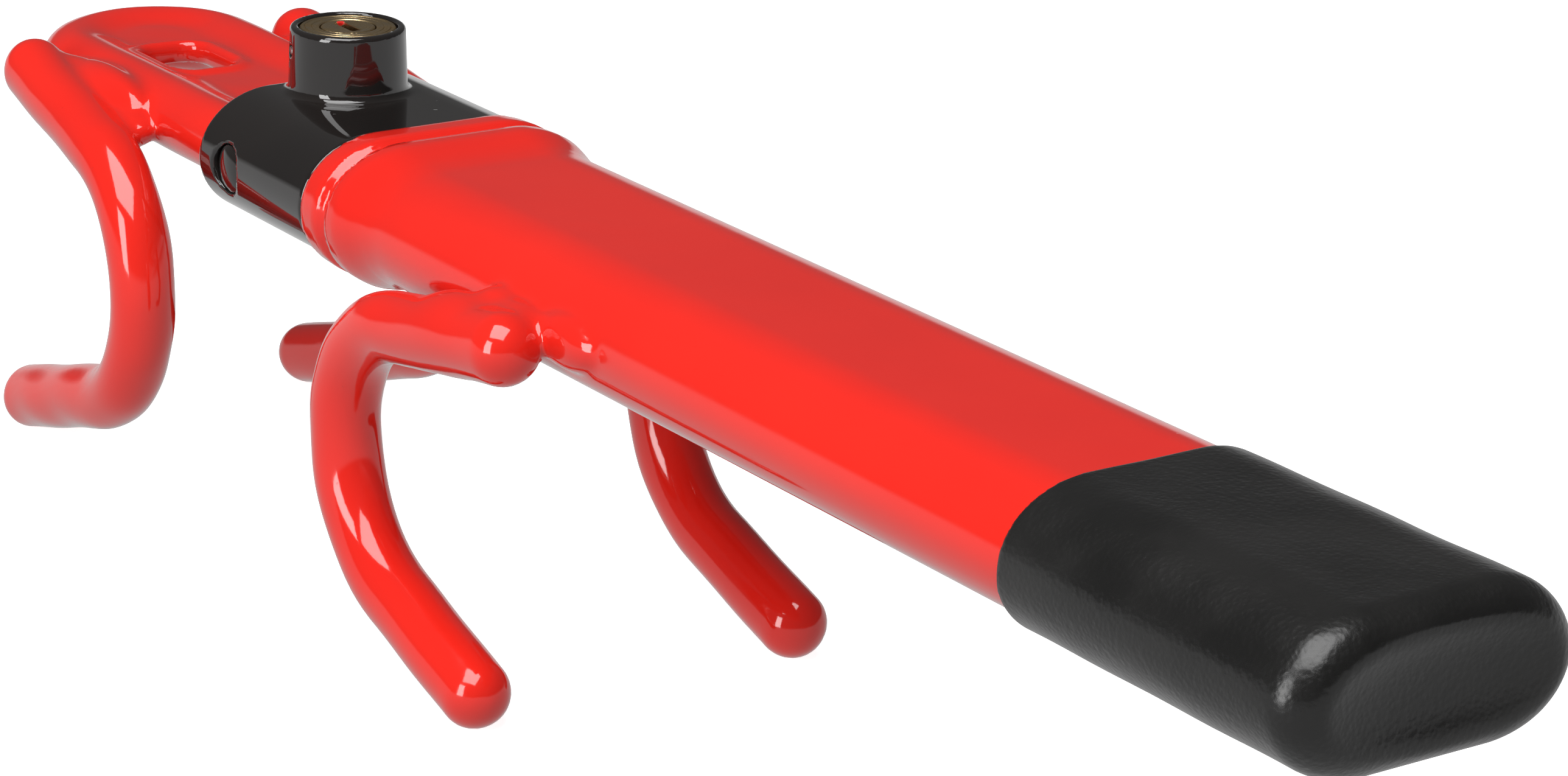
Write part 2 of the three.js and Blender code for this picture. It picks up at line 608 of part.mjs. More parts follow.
// The origin goes to the middle of the ground that the lock stands over.
const reach = new THREE.Box3().setFromObject(lock, true);
lock.position.set(-(reach.min.x + reach.max.x) / 2, 0, -reach.min.z);
const steeringWheelLock = new THREE.Group();
steeringWheelLock.add(lock);

export default steeringWheelLock;
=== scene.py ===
# %% [markdown]
# # A telescopic steering wheel lock
# The lock is a flat-oval steel tube with two bent hooks, and a hairpin bar with two more hooks
# that slides in its mouth. A black housing in the mouth holds a key cylinder, which throws two
# bolts into notches in the hairpin's legs. Everything red is steel dipped in soft vinyl.
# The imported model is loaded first: it is the fixed frame that every piece below is built on.

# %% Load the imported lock
import json
import math
from itertools import product

import bmesh
import bpy
import numpy as np
from mathutils import Matrix, Vector

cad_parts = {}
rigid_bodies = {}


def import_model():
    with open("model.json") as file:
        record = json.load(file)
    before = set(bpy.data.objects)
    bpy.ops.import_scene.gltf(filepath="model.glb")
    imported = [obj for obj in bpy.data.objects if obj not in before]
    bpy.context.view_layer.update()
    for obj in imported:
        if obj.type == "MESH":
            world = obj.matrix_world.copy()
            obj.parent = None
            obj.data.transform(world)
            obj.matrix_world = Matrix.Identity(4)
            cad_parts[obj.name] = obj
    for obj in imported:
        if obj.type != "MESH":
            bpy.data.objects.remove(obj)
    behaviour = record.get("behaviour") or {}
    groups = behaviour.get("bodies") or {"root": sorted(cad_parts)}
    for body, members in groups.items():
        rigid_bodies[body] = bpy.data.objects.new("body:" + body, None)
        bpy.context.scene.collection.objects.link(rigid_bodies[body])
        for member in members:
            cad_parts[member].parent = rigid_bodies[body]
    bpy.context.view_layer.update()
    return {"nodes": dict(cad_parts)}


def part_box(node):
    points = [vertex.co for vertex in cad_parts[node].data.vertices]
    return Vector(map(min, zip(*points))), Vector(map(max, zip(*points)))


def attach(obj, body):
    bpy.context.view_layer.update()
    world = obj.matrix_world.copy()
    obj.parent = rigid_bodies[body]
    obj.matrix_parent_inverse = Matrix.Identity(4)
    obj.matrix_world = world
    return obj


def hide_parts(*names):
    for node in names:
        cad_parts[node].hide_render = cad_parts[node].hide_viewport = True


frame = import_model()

# %% [markdown]
# ## Sizes
# The frame is in metres, but lock parts are drawn in millimetres, so the shapes below are worked
# out in millimetres from two places: the key cylinder's axis (x = 0) and the tube's mid height
# (z = 0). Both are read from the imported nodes, and one function turns points back to metres.

# %% Origin and main sizes
def node_span(name):
    low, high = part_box(name)
    return np.array(low) * 1000, np.array(high) * 1000


plug_low, plug_high = node_span("lock_plug")
tube_low, tube_high = node_span("outer_tube")
ORIGIN = np.array([(plug_low[0] + plug_high[0]) / 2, 0, (tube_low[2] + tube_high[2]) / 2])


def to_metres(points):
    return (np.asarray(points, float) + ORIGIN) / 1000


TUBE_WIDTH, TUBE_HEIGHT = 55.0, 24.4
TUBE_SIDE = 15.6  # how far each rounded side reaches in
TUBE_WALL = 2.3
GAP = 0.3
SPIGOT_LENGTH = 30  # the housing's part inside the tube
MOUTH_X = node_span("lock_housing")[1][0] - ORIGIN[0] - SPIGOT_LENGTH
TUBE_END = tube_high[0] - ORIGIN[0]
HOUSING_FRONT = -11.2
COAT_RADIUS, BAR_RADIUS = 6.85, 6.0
LEG_Y = 18.35  # from the middle to each leg's axis
print("tube from", round(MOUTH_X, 2), "to", round(TUBE_END, 2), "mm")

# %% [markdown]
# ## The camera
# A long lens from the grip's end, level with the tube's near side and a little above it, makes
# the tube run from the lock at the back to the grip at the front.

# %% Camera
VIEW_AZIMUTH, VIEW_TILT, VIEW_ROLL = 35.005, 18.685, 0.032
azimuth, tilt = math.radians(VIEW_AZIMUTH), math.radians(VIEW_TILT)
forward = Vector((-math.cos(azimuth) * math.cos(tilt),
                  math.sin(azimuth) * math.cos(tilt), -math.sin(tilt)))
level = forward.cross(Vector((0, 0, 1))).normalized()
upward = level.cross(forward)
right = (level + VIEW_ROLL * upward).normalized()
up = right.cross(forward)
camera = bpy.data.objects.new("camera", bpy.data.cameras.new("camera"))
bpy.context.scene.collection.objects.link(camera)
camera.data.lens, camera.data.sensor_width = 100.62, 36.0
camera.data.clip_start, camera.data.clip_end = 0.05, 20
turn = Matrix((right, up, -forward)).transposed().to_4x4()
camera.matrix_world = Matrix.Translation((0.6489, -0.4206, 0.3223)) @ turn
bpy.context.scene.camera = camera
print("camera looks along", [round(v, 3) for v in forward])

# %% [markdown]
# ## Studio
# A white floor that glows a little, so that no shadow is left on it, a pale surround below the
# horizon and a dark one above, so that the gloss on the flat tops stays deep while the sides
# mirror something pale. Two soft boxes light the lock and give the highlights on its bars. The
# floor is hidden from reflections and bounce, or it would wash out the red.

# %% Floor, surround and lights
def stage_floor():
    mesh = bpy.data.meshes.new("floor")
    side = 6.0
    mesh.from_pydata([(-side, -side, 0), (side, -side, 0), (side, side, 0), (-side, side, 0)],
                     [], [(0, 1, 2, 3)])
    floor = bpy.data.objects.new("floor", mesh)
    bpy.context.scene.collection.objects.link(floor)
    paper = bpy.data.materials.new("studio_paper")
    paper.use_nodes = True
    shader = paper.node_tree.nodes["Principled BSDF"]
    shader.inputs["Base Color"].default_value = (0.93, 0.93, 0.93, 1)
    shader.inputs["Roughness"].default_value = 0.9
    shader.inputs["Specular IOR Level"].default_value = 0.1
    shader.inputs["Emission Color"].default_value = (1, 1, 1, 1)
    shader.inputs["Emission Strength"].default_value = 0.9
    mesh.materials.append(paper)
    floor.visible_glossy = False
    return floor


def soft_box(name, place, target, width, height, power):
    data = bpy.data.lights.new(name, "AREA")
    data.shape, data.size, data.size_y, data.energy = "RECTANGLE", width, height, power
    lamp = bpy.data.objects.new(name, data)
    bpy.context.scene.collection.objects.link(lamp)
    aim = (Vector(target) - Vector(place)).to_track_quat("-Z", "Y")
    lamp.matrix_world = Matrix.Translation(place) @ aim.to_matrix().to_4x4()
    return lamp


def surround(horizon, below, above):
    world = bpy.data.worlds.new("surround")
    bpy.context.scene.world = world
    world.use_nodes = True
    tree = world.node_tree
    tree.nodes.clear()
    place = tree.nodes.new("ShaderNodeTexCoord")
    split = tree.nodes.new("ShaderNodeSeparateXYZ")
    ramp = tree.nodes.new("ShaderNodeValToRGB")
    back = tree.nodes.new("ShaderNodeBackground")
    out = tree.nodes.new("ShaderNodeOutputWorld")
    stretch = tree.nodes.new("ShaderNodeMapRange")
    stretch.inputs["From Min"].default_value = -1
    ramp.color_ramp.elements[0].position = horizon - 0.02
    ramp.color_ramp.elements[0].color = (below,) * 3 + (1,)
    ramp.color_ramp.elements[1].position = horizon + 0.02
    ramp.color_ramp.elements[1].color = (above,) * 3 + (1,)
    tree.links.new(place.outputs["Generated"], split.inputs[0])
    tree.links.new(split.outputs["Z"], stretch.inputs["Value"])
    tree.links.new(stretch.outputs["Result"], ramp.inputs["Fac"])
    tree.links.new(ramp.outputs["Color"], back.inputs["Color"])
    tree.links.new(back.outputs["Background"], out.inputs["Surface"])
    back.inputs["Strength"].default_value = 1.0
    return world


floor = stage_floor()
floor.visible_diffuse = False
surround(0.53, 0.62, 0.10)
soft_box("key_box", (0.3, -0.5, 1.5), (0, 0, 0.05), 1.3, 1.3, 31)
soft_box("side_box", (0.15, -1.0, 0.35), (0, 0, 0.05), 0.35, 0.6, 5)
scene = bpy.context.scene
scene.view_settings.view_transform = "Standard"
scene.view_settings.look = "None"

# %% [markdown]
# ## Shapes as distance fields
# Vinyl dip hides every edge: where a bar touches the tube the coat flows into a fillet, and weld
# metal shows only as soft lumps. Joining separate meshes would leave hard creases, and rounding
# them afterwards is guesswork. So a fused piece is written as a field, a function that gives
# each point's distance to the surface, negative inside. Fields join with a soft minimum, whose
# width is the fillet's. The mesh is then netted: one point in each grid cell that the surface
# crosses, one four-sided face for each grid edge that it crosses, and last each point slides
# along the field's slope until it lies on the surface exactly.

# %% Field helpers
def meet(a, b, blend):
    share = np.clip(0.5 + 0.5 * (b - a) / blend, 0, 1)
    return b + (a - b) * share - blend * share * (1 - share)


def carve(a, tool, blend):
    return -meet(-a, tool, blend)


def oval(points, outset):
    """Distance to the tube's flat oval, pushed out by `outset`, across X."""
    half, side = TUBE_HEIGHT / 2 + outset, TUBE_SIDE + outset
    y = np.abs(points[:, 1]) - (TUBE_WIDTH / 2 + outset - side)
    z = np.abs(points[:, 2])
    near = np.maximum(np.hypot(y / side, z / half), 1e-6)
    slope = np.maximum(np.hypot(y / side**2, z / half**2), 1e-6)
    return np.where(y > 0, near * (near - 1) / slope, z - half)


def rounded(across, along, edge):
    """Where two walls meet, an edge of radius `edge`."""
    a, b = across + edge, along + edge
    return np.hypot(np.maximum(a, 0), np.maximum(b, 0)) + np.minimum(np.maximum(a, b), 0) - edge


def prism(points, outset, start, end, edge):
    along = np.abs(points[:, 0] - (start + end) / 2) - (end - start) / 2
    return rounded(oval(points, outset), along, edge)


def block(points, centre, half, edge):
    out = np.abs(points - np.array(centre)) - np.array(half) + edge
    return (np.linalg.norm(np.maximum(out, 0), axis=1)
            + np.minimum(out.max(axis=1), 0) - edge)


def post(points, radius, low, high, edge, axis=2):
    """A round post along one axis; `radius` may vary from point to point."""
    other = [i for i in range(3) if i != axis]
    across = np.hypot(points[:, other[0]], points[:, other[1]]) - radius
    along = np.abs(points[:, axis] - (low + high) / 2) - (high - low) / 2
    return rounded(across, along, edge)


def lump(points, centre, radii):
    offset = points - np.array(centre)
    near = np.maximum(np.linalg.norm(offset / radii, axis=1), 1e-6)
    slope = np.maximum(np.linalg.norm(offset / np.square(radii), axis=1), 1e-6)
    return near * (near - 1) / slope


# %% [markdown]
# A bent bar's centreline is straights and round bends in one plane, the way a tube bender
# works. The distance to it is the least of the distances to its straights and arcs.

# %% Bent centrelines
def bent_line(start, heading, moves):
    """Pieces of a centreline: ("straight", p, q) or ("bend", centre, radius, middle, half)."""
    x, z = start
    heading = math.radians(heading)
    pieces = []
    for size, turn in moves:
        if not turn:
            end = (x + size * math.cos(heading), z + size * math.sin(heading))
            pieces.append(("straight", (x, z), end))
        else:
            turn = math.radians(turn)
            hand = math.copysign(1, turn)
            centre = (x - hand * size * math.sin(heading), z + hand * size * math.cos(heading))
            begin = math.atan2(z - centre[1], x - centre[0])
            pieces.append(("bend", centre, size, begin + turn / 2, abs(turn) / 2))
            heading += turn
            final = begin + turn
            end = (centre[0] + size * math.cos(final), centre[1] + size * math.sin(final))
        x, z = end
    return pieces


def line_distance(u, v, pieces):
    best = np.full(len(u), 1e9)
    for kind, a, b, *arc in pieces:
        if kind == "straight":
            (ax, az), (bx, bz) = a, b
            length = (bx - ax) ** 2 + (bz - az) ** 2
            t = np.clip(((u - ax) * (bx - ax) + (v - az) * (bz - az)) / length, 0, 1)
            gap = np.hypot(u - ax - t * (bx - ax), v - az - t * (bz - az))
        else:
            middle, half = arc
            angle = np.arctan2(v - a[1], u - a[0]) - middle
            angle = np.clip((angle + math.pi) % (2 * math.pi) - math.pi, -half, half) + middle
            gap = np.hypot(u - a[0] - b * np.cos(angle), v - a[1] - b * np.sin(angle))
        best = np.minimum(best, gap)
    return best


def hook_bar(points, lines, place, splay=0.0, splay_from=0.0):
    """Distance to the hook's centreline; `lines` holds the left side's and the right side's."""
    x, y, z = points.T
    plane = np.where(y < 0, line_distance(x, z, lines[0]), line_distance(x, z, lines[1]))
    return np.hypot(plane, np.abs(y) - place - splay * (x - splay_from)) - COAT_RADIUS


REAR_LINES = (
    bent_line((MOUTH_X + 87.8, -2.1), 190, [(37.8, 0), (25, 80), (31, 72), (29, 0)]),
    bent_line((MOUTH_X + 79.3, -7.43), 182, [(24, 0), (25, 88), (31, 72), (29, 0)]),
)
FRONT_LINES = (
    bent_line((HOUSING_FRONT - 64, 3.7), -12.5,
              [(37.2, 0), (26, -73), (29.8, -77.6), (43.2, 0)]),
    bent_line((HOUSING_FRONT - 70, 1.5), -8,
              [(42.7, 0), (26, -77.5), (29.8, -77.6), (43.2, 0)]),
)
REAR_WELD_GAP, FRONT_WELD_GAP = 0.9, 2.0  # between a hook and what it is welded to
REAR_HOOK_Y = TUBE_WIDTH / 2 + REAR_WELD_GAP + COAT_RADIUS
FRONT_HOOK_Y = LEG_Y + 2 * COAT_RADIUS + FRONT_WELD_GAP
FRONT_SPLAY = 0.065  # how much further out the front hooks' backs lie, per mm of length
FRONT_START = HOUSING_FRONT - 64

# %% [markdown]
# The net itself. Grid values are worked out in slices to spare memory. A crossing's place on its
# edge is where the field passes zero, and a cell's point is the mean of its crossings.

# %% Netting a field
def net(field, low, high, step):
    ticks = [np.arange(a - 1.5 * step, b + 2.5 * step, step) for a, b in zip(low, high)]
    shape = tuple(len(t) for t in ticks)
    grid = np.stack(np.meshgrid(*ticks, indexing="ij"), -1).reshape(-1, 3)
    slices = np.array_split(grid, max(1, len(grid) // 300_000))
    value = np.concatenate([field(part) for part in slices]).reshape(shape)
    cells = tuple(n - 1 for n in shape)
    total, count = np.zeros(cells + (3,), np.float32), np.zeros(cells, np.int8)
    for axis, i, j in product(range(3), (0, 1), (0, 1)):
        first, second = (axis + 1) % 3, (axis + 2) % 3
        corner = [0, 0, 0]
        corner[first], corner[second] = i, j
        far = list(corner)
        far[axis] = 1
        a, b = (value[tuple(slice(c, c + n) for c, n in zip(at, cells))] for at in (corner, far))
        crossed = (a < 0) != (b < 0)
        where = np.where(crossed, a / np.where(crossed, a - b, 1), 0)
        total[..., axis] += where
        total[..., first] += i * crossed
        total[..., second] += j * crossed
        count += crossed
    used = count > 0
    index = np.full(cells, -1)
    index[used] = np.arange(used.sum())
    places = np.argwhere(used) + total[used] / count[used][:, None]
    points = np.array([t[0] for t in ticks]) + places * step
    faces = []
    for axis in range(3):
        order = (axis, (axis + 1) % 3, (axis + 2) % 3)
        inside, ids = np.transpose(value < 0, order), np.transpose(index, order)
        low_in, high_in = inside[:-1, 1:-1, 1:-1], inside[1:, 1:-1, 1:-1]
        ring = [ids[:, :-1, :-1], ids[:, 1:, :-1], ids[:, 1:, 1:], ids[:, :-1, 1:]]
        for mask, turn in ((low_in & ~high_in, 1), (high_in & ~low_in, -1)):
            faces.append(np.stack([r[mask] for r in ring], -1)[:, ::turn])
    return points, np.concatenate(faces)


def settle(points, field, limit, rounds=4, probe=0.02):
    for _ in range(rounds):
        slope = np.stack([(field(points + e) - field(points - e)) / (2 * probe)
                          for e in np.eye(3) * probe], -1)
        steep = np.maximum((slope**2).sum(1), 0.1)
        move = slope * (field(points) / steep)[:, None]
        length = np.maximum(np.linalg.norm(move, axis=1), 1e-9)
        points = points - move * np.minimum(1, limit / length)[:, None]
    return points


def new_piece(name, points_mm, faces, material, sharp=None):
    mesh = bpy.data.meshes.new(name)
    mesh.from_pydata(to_metres(points_mm).tolist(), [], [tuple(f) for f in faces])
    mesh.materials.append(material)
    mesh.shade_smooth()
    if sharp:
        mesh.set_sharp_from_angle(angle=math.radians(sharp))
    piece = bpy.data.objects.new(name, mesh)
    bpy.context.scene.collection.objects.link(piece)
    print(name, len(points_mm), "points", len(faces), "faces")
    return piece


def netted_piece(name, field, low, high, step, material, sharp=None):
    points, faces = net(field, low, high, step)
    points = settle(points, field, step / 2)
    return new_piece(name, points, faces.tolist(), material, sharp)


def belongs(piece, body, slot, *nodes):
    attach(piece, body)
    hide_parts(*nodes)


# %% [markdown]
# ## Writing finishes
# Shader nodes are easier to read as sums. `Link` wraps one output and gives it the usual
# operators, and `Finish` holds a material and adds any node with its settings and inputs.

# %% Link and Finish
class Link:
    def __init__(self, finish, socket):
        self.finish, self.socket = finish, socket

    def sum(self, operation, *values):
        return self.finish.node("Math", {"operation": operation}, dict(enumerate(values)))

    def __add__(self, other):
        return self.sum("ADD", self, other)

    def __sub__(self, other):
        return self.sum("SUBTRACT", self, other)

    def __mul__(self, other):
        return self.sum("MULTIPLY", self, other)

    def __truediv__(self, other):
        return self.sum("DIVIDE", self, other)

    def __rsub__(self, other):
        return self.sum("SUBTRACT", other, self)

    def __pow__(self, other):
        return self.sum("POWER", self, other)

    __radd__, __rmul__ = __add__, __mul__


class Finish:
    def __init__(self, name, **fixed):
        self.material = bpy.data.materials.new(name)
        self.material.use_nodes = True
        self.tree = self.material.node_tree
        self.shader = self.tree.nodes["Principled BSDF"]
        for key, value in fixed.items():
            self.shader.inputs[key.replace("_", " ")].default_value = value

    def node(self, kind, settings=None, sockets=None, out=0):
        made = self.tree.nodes.new("ShaderNode" + kind)
        for key, value in (settings or {}).items():
            setattr(made, key, value)
        for key, value in (sockets or {}).items():
            if isinstance(value, Link):
                self.tree.links.new(value.socket, made.inputs[key])
            else:
                made.inputs[key].default_value = value
        return Link(self, made.outputs[out])

    def place(self):
        return self.node("TexCoord", out="Object")

    def stretched(self, scale):
        return self.node("Mapping", None, {"Vector": self.place(), "Scale": scale})

    def noise(self, size_mm, detail=3.0, rough=0.5, at=None):
        return self.node("TexNoise", None, {"Vector": at or self.place(), "Detail": detail,
                                            "Scale": 1000 / size_mm, "Roughness": rough})

    def cells(self, size_mm, feature="F1", at=None):
        return self.node("TexVoronoi", {"feature": feature},
                         {"Vector": at or self.place(), "Scale": 1000 / size_mm})

    def range(self, value, low, high, to_low=0.0, to_high=1.0):
        return self.node("MapRange", {"interpolation_type": "SMOOTHSTEP"},
                         {"Value": value, "From Min": low, "From Max": high,
                          "To Min": to_low, "To Max": to_high})

    def mix(self, share, a, b):
        return self.node("Mix", {"data_type": "RGBA"}, {0: share, 6: a, 7: b}, out=2)

    def bump(self, height, depth_mm, strength=1.0, under=None):
        sockets = {"Height": height, "Distance": depth_mm / 1000, "Strength": strength}
        if under:
            sockets["Normal"] = under
        return self.node("Bump", None, sockets)

    def wire(self, **links):
        for key, link in links.items():
            self.tree.links.new(link.socket, self.shader.inputs[key.replace("_", " ")])
        return self.material


# %% [markdown]
# ### Red vinyl dip
# Glossy and thick, with the slow ripple of a coat that ran a little before it set, a faint
# mottling in its depth, dust specks caught in it, and dull rubbed patches.

# %% Red vinyl
def red_vinyl():
    f = Finish("red_vinyl_dip", Coat_Roughness=0.03, Coat_Weight=0.35, IOR=1.5)
    slow, fine = f.noise(34, 2), f.noise(5.5, 3)
    base = f.mix(slow, (0.80, 0.022, 0.012, 1), (0.70, 0.016, 0.010, 1))
    dust = f.range(f.cells(6.5), 0.0, 0.055, 1, 0)
    base = f.mix(dust * 0.25, base, (0.45, 0.02, 0.015, 1))
    rubbed = f.range(f.noise(16, 5, 0.62), 0.52, 0.72)
    roughness = 0.09 + rubbed * 0.10 + fine * 0.03
    ripple = f.bump(f.noise(11, 1), 0.10, 0.5)
    skin = f.bump(dust + fine * 0.35, 0.035, 0.6, ripple)
    return f.wire(Base_Color=base, Roughness=roughness, Normal=skin)


RED_VINYL = red_vinyl()

# %% [markdown]
# ### Black grip vinyl
# A second dip, matt this time, over the tube's end. It cures with a fine orange-peel grain whose
# tops catch the light as tiny specks, and handling polishes it unevenly.

# %% Black vinyl
def black_vinyl():
    f = Finish("black_grip_vinyl", IOR=1.4, Coat_Weight=0.3, Coat_Roughness=0.2)
    grain = f.node("TexVoronoi", {"feature": "SMOOTH_F1"},
                   {"Vector": f.place(), "Scale": 1000 / 0.95, "Smoothness": 0.6})
    wrinkle = f.noise(1.7, 4, 0.6)
    patch = f.range(f.noise(22, 4), 0.35, 0.7)
    base = f.mix(patch, (0.008, 0.0078, 0.0075, 1), (0.013, 0.0125, 0.012, 1))
    roughness = 0.26 + patch * 0.08 + wrinkle * 0.06
    peel = f.bump(wrinkle, 0.16, 0.55)
    skin = f.bump(grain, 0.10, 0.7, peel)
    return f.wire(Base_Color=base, Roughness=roughness, Normal=skin)


BLACK_VINYL = black_vinyl()

# %% [markdown]
# ### Black gloss paint
# The housing is a casting under a thick gloss black. It mirrors the studio, with a slow waviness
# from the cast surface and a few pinholes where the paint didn't wet.

# %% Black paint
def black_paint():
    f = Finish("black_gloss_paint", Coat_Weight=0.6, Coat_Roughness=0.02, IOR=1.5)
    pinhole = f.range(f.cells(9.0), 0.0, 0.07, 1, 0)
    slow = f.noise(24, 2)
    base = f.mix(slow, (0.010, 0.0085, 0.008, 1), (0.015, 0.012, 0.011, 1))
    dull = f.range(f.noise(7, 6, 0.65), 0.5, 0.75)
    roughness = 0.05 + dull * 0.07 + pinhole * 0.2
    wave = f.bump(f.noise(9, 1), 0.05, 0.5)
    skin = f.bump(1 - pinhole, 0.15, 0.8, wave)
    return f.wire(Base_Color=base, Roughness=roughness, Normal=skin)


BLACK_PAINT = black_paint()

# %% [markdown]
# ### Brass and steel
# The cylinder is turned brass gone brown, so its faces carry fine rings round the axis, bright
# where keys have rubbed it. The plug's face has a small dot of red paint. The bare legs are
# drawn bar: streaks along their length, with grease left in patches.

# %% Brass and steel
def turned_brass(name, spot=None):
    f = Finish(name, Metallic=1.0)
    axis = tuple(-v for v in to_metres((0, 0, 0)))
    centred = f.node("Mapping", None, {"Vector": f.place(), "Location": axis})
    flat = f.node("VectorMath", {"operation": "MULTIPLY"}, {0: centred, 1: (1, 1, 0)})
    radius = f.node("VectorMath", {"operation": "LENGTH"}, {0: flat}, out="Value") * 1000
    rings = (radius * 9.0 + f.noise(2.5, 2) * 1.5).sum("SINE", radius * 9.0 + f.noise(2.5, 2))
    stain = f.range(f.noise(3.2, 5, 0.65), 0.38, 0.66)
    base = f.mix(stain, (0.62, 0.46, 0.25, 1), (0.30, 0.21, 0.105, 1))
    roughness = 0.28 + stain * 0.22
    skin = f.bump(rings, 0.02, 0.5)
    if spot is None:
        return f.wire(Base_Color=base, Roughness=roughness, Normal=skin)
    away = f.node("VectorMath", {"operation": "DISTANCE"},
                  {0: f.place(), 1: tuple(to_metres(spot))}, out="Value") * 1000
    paint = f.range(away, 0.7, 0.95, 1, 0)
    base = f.mix(paint, base, (0.70, 0.02, 0.015, 1))
    return f.wire(Base_Color=base, Roughness=roughness, Metallic=1 - paint, Normal=skin)


def drawn_steel():
    f = Finish("drawn_steel", Metallic=1.0)
    streak = f.noise(1.0, 4, 0.6, f.stretched((0.03, 1, 1)))
    grease = f.range(f.noise(14, 4, 0.6), 0.45, 0.7)
    base = f.mix(grease, (0.52, 0.51, 0.50, 1), (0.25, 0.23, 0.21, 1))
    roughness = 0.22 + streak * 0.16 + grease * 0.12
    skin = f.bump(streak, 0.03, 0.5)
    return f.wire(Base_Color=base, Roughness=roughness, Normal=skin)


TURNED_BRASS, DRAWN_STEEL = turned_brass("turned_brass"), drawn_steel()

# %% [markdown]
# ## The tube and its hooks
# Tube, collar, both rear hooks and their welds went into the dip as one welded frame, so they
# are one skin. The collar is the tube's mouth rolled over the housing: a smooth band, a groove
# between two ridges, and a long flare that fades into the tube.

# %% Collar profile
COLLAR = [(0, 1.3), (1.2, 2.0), (6.2, 2.2), (7.2, 2.1), (8.4, 0.5), (9.8, 0.5), (11, 2.2),
          (14.5, 2.3), (17, 1.7), (19.5, 1.0), (22, 0.45), (25, 0.1), (27, 0)]
collar_x = np.linspace(-5, 35, 401)
collar_rise = np.interp(collar_x, *zip(*COLLAR))
spread = np.exp(-np.square(np.linspace(-2.6, 2.6, 9)))
collar_rise = np.convolve(np.pad(collar_rise, 4, "edge"), spread / spread.sum(), "valid")


def wobble(points, amount):
    """The dip's uneven thickness."""
    x, y, z = points.T
    return amount * (np.sin(0.23 * x + 0.8) * np.sin(0.19 * z + 0.11 * y + 0.4)
                     + 0.6 * np.sin(0.41 * z + 0.17 * x) * np.sin(0.31 * y + 1.3))


# %% Tube skin
def tube_skin(points):
    start = MOUTH_X + GAP
    rise = np.interp(points[:, 0] - start, collar_x, collar_rise)
    ends = np.maximum(start - points[:, 0], points[:, 0] - TUBE_END)
    shell = rounded(oval(points, 0) - rise, ends, 1.2)
    bar = hook_bar(points, REAR_LINES, REAR_HOOK_Y) + wobble(points, 0.12)
    solid = meet(shell, bar, 2.4)
    for centre, radii in REAR_LUMPS:
        solid = meet(solid, lump(points, centre, radii), 2.2)
    bore = np.maximum(oval(points, -TUBE_WALL), MOUTH_X - 5 - points[:, 0])
    return carve(solid, bore, 0.5)


REAR_LUMPS = [
    ((108, -28.6, 1.6), (5.4, 3.8, 3.4)), ((116, -29.6, 0.6), (8.0, 4.4, 4.0)),
    ((129, -27.4, 0.4), (8.6, 3.0, 4.8)), ((104, -33.4, -4.0), (13, 6.4, 7.4)),
    ((106, 28.5, -4.6), (14, 4.4, 5.0)),
]
tube_piece = netted_piece(
    "tube_and_rear_hooks", tube_skin, (MOUTH_X, -43, -79), (TUBE_END, 43, 15),
    1.15, RED_VINYL)
belongs(tube_piece, "tube", "red_vinyl", "outer_tube", "rear_hook_left", "rear_hook_right",
        "rear_weld_left", "rear_weld_right")

# %% [markdown]
# ## The hairpin's coated loop
# The bar is bent into a loop, the front hooks are welded outside its legs, and a gusset plate
# fills the loop. The dip runs into the plate's corners and leaves one soft-edged window in it.

# %% Loop skin
COAT_END = HOUSING_FRONT - 0.4
LOOP_X = HOUSING_FRONT - 74  # where the straight legs turn into the bend
PLATE_MIDDLE, PLATE_HALF = 3.1, 2.2
WINDOW_MIDDLE, WINDOW_HALF, WINDOW_ROUND = [-65.0, -3.0], [6.0, 2.4], 4.8
FRONT_LUMPS = [
    ((-58, -26.2, 2.6), (17, 5.0, 5.6)), ((-72, -28.0, 1.5), (8, 5, 5)),
    ((-42, -28.0, -1.5), (6.5, 4, 3.6)), ((-60, 26.2, 1.0), (17, 5.0, 5.6)),
]


def loop_skin(points):
    x, y, z = points.T
    along = np.where(x < LOOP_X, np.hypot(x - LOOP_X, y), np.abs(y))
    bar = np.hypot(along - LEG_Y, z) - COAT_RADIUS + wobble(points, 0.10)
    plate = rounded(along - LEG_Y, np.abs(z - PLATE_MIDDLE) - PLATE_HALF, 1.0)
    sides = np.abs(points[:, :2] - WINDOW_MIDDLE) - WINDOW_HALF
    window = np.linalg.norm(np.maximum(sides, 0), axis=1) + np.minimum(sides.max(1), 0)
    window = window - WINDOW_ROUND
    rim = np.hypot(window - 1.5, z - 4.5) - 1.3
    solid = meet(meet(bar, plate + wobble(points, 0.15), 5.0), rim, 1.6)
    solid = rounded(carve(solid, window, 1.6), x - COAT_END, 0.6)
    hook = hook_bar(points, FRONT_LINES, FRONT_HOOK_Y, FRONT_SPLAY, FRONT_START)
    solid = meet(solid, hook + wobble(points, 0.12), 3.6)
    for centre, radii in FRONT_LUMPS:
        solid = meet(solid, lump(points, centre, radii), 3.0)
    return solid


loop_piece = netted_piece(
    "loop_and_front_hooks", loop_skin, (-113, -47, -82), (-9, 47, 14),
    0.85, RED_VINYL)
belongs(loop_piece, "extension", "red_vinyl", "hairpin_loop", "hairpin_web", "front_hook_left",
        "front_hook_right", "front_weld_left", "front_weld_right")

# %% [markdown]
# ## The notched legs
# Behind the coat the hairpin is bare drawn bar with a ratchet notch every 12 mm, cut from the
# inner side. The notches are one rule repeated, so Geometry Nodes cut them: a line of points,
# a cutter on each, and a Boolean from the round bar. The second leg is the first, turned over.

